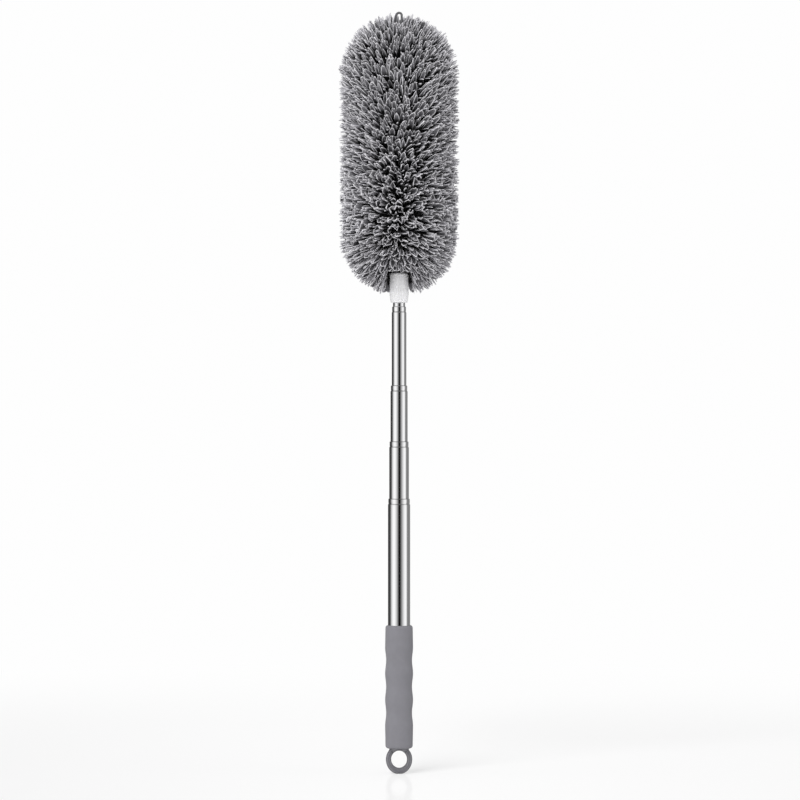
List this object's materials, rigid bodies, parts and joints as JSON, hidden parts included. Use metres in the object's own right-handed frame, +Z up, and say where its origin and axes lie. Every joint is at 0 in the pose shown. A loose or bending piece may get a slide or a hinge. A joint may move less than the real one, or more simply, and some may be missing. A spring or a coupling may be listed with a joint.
{
  "type": "extendable microfiber duster",
  "caption": "Duster with a bushy capsule-shaped microfiber head on a twisted wire, a telescopic steel pole, a waved grip and a hanging ring.",
  "frame": {"origin": "middle of the flat foot of the hanging ring, on the axis of the pole", "axes": "+Z up along the pole to the head, the ring's hole runs along Y, +X to the right seen from -Y"},
  "size_m": [0.1171, 0.1175, 0.7544],
  "materials": {
    "pole_steel": "polished stainless steel",
    "grip_rubber": "matte soft-touch grey",
    "ring_plastic": "satin dark grey moulding",
    "bush_nylon": "natural nylon",
    "sleeve_bronze": "bare spring bronze",
    "tip_nylon": "black nylon",
    "socket_plastic": "satin translucent white",
    "wire_coated": "dark coated steel wire",
    "microfiber": "plush grey microfiber strands"
  },
  "bodies": {
    "handle": {"hang_ring": "ring_plastic", "grip_sleeve": "grip_rubber", "handle_tube": "pole_steel"},
    "section_2": {"pole_tube_2": "pole_steel", "end_bush_2": "bush_nylon", "friction_sleeve_2": "sleeve_bronze"},
    "section_3": {"pole_tube_3": "pole_steel", "end_bush_3": "bush_nylon", "friction_sleeve_3": "sleeve_bronze"},
    "section_4": {"pole_tube_4": "pole_steel", "end_bush_4": "bush_nylon", "friction_sleeve_4": "sleeve_bronze"},
    "section_5": {"pole_tube_5": "pole_steel", "end_bush_5": "bush_nylon", "friction_sleeve_5": "sleeve_bronze", "tip_plug": "tip_nylon"},
    "head": {"head_socket": "socket_plastic", "core_wire": "wire_coated", "pile_slice_1": "microfiber", "pile_slice_2": "microfiber", "pile_slice_3": "microfiber", "pile_slice_4": "microfiber", "pile_slice_5": "microfiber", "pile_slice_6": "microfiber", "pile_slice_7": "microfiber", "pile_slice_8": "microfiber"}
  },
  "joints": [
    {"name": "section_2_slide", "type": "slide", "parent": "handle", "child": "section_2", "axis": [0, 0, 1], "range_m": [-0.0506, 0.1486]},
    {"name": "section_3_slide", "type": "slide", "parent": "section_2", "child": "section_3", "axis": [0, 0, 1], "range_m": [-0.0494, 0.1455]},
    {"name": "section_4_slide", "type": "slide", "parent": "section_3", "child": "section_4", "axis": [0, 0, 1], "range_m": [-0.0721, 0.1185]},
    {"name": "section_5_slide", "type": "slide", "parent": "section_4", "child": "section_5", "axis": [0, 0, 1], "range_m": [0, 0.1863]},
    {"name": "head_release", "type": "slide", "parent": "section_5", "child": "head", "axis": [0, 0, 1], "range_m": [0, 0.03]}
  ]
}
